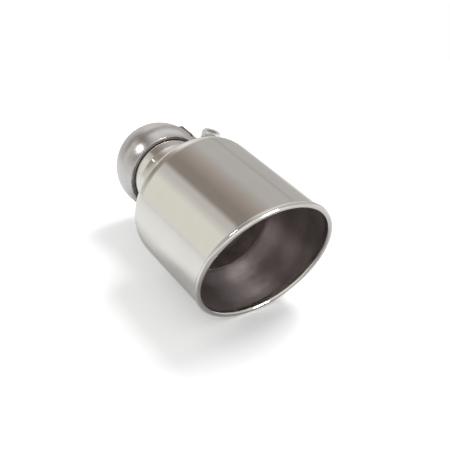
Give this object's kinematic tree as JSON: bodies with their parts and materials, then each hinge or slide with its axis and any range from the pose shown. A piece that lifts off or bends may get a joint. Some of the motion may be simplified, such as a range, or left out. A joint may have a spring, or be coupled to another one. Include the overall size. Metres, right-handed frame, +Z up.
{
  "type": "exhaust tip",
  "caption": "Round slant-cut exhaust tip with a rolled lip and funnel liner, on a neck tube whose ball end sits in a bolted split clamp for the tail pipe.",
  "frame": {"origin": "centre of the ball joint, on the axis of the tail pipe and of the neck", "axes": "+Y runs back along the tail pipe and the outlet faces -Y, +Z is up with the longer lip edge on top, +X is towards the clamp's bolt"},
  "size_m": [0.1079, 0.1895, 0.1036],
  "materials": {
    "polished_steel": "mirror-polished stainless steel",
    "satin_steel": "satin stainless steel with a faint blotchy sheen",
    "liner_steel": "dull dark stainless steel, unpolished inside",
    "plated_steel": "bright zinc-plated steel"
  },
  "bodies": {
    "clamp": {"clamp_shell": "satin_steel", "upper_lug": "satin_steel", "lower_lug": "satin_steel", "clamp_bolt": "plated_steel", "clamp_nut": "plated_steel", "upper_washer": "plated_steel", "lower_washer": "plated_steel"},
    "tip": {"neck_tube": "polished_steel", "neck_sleeve": "polished_steel", "outer_body": "polished_steel", "inner_liner": "liner_steel"}
  },
  "joints": [
    {"name": "ball_tilt", "type": "hinge", "parent": "clamp", "child": "tip", "pos_m": [0, 0, 0], "axis": [1, 0, 0], "range_deg": [-4, 4]}
  ]
}
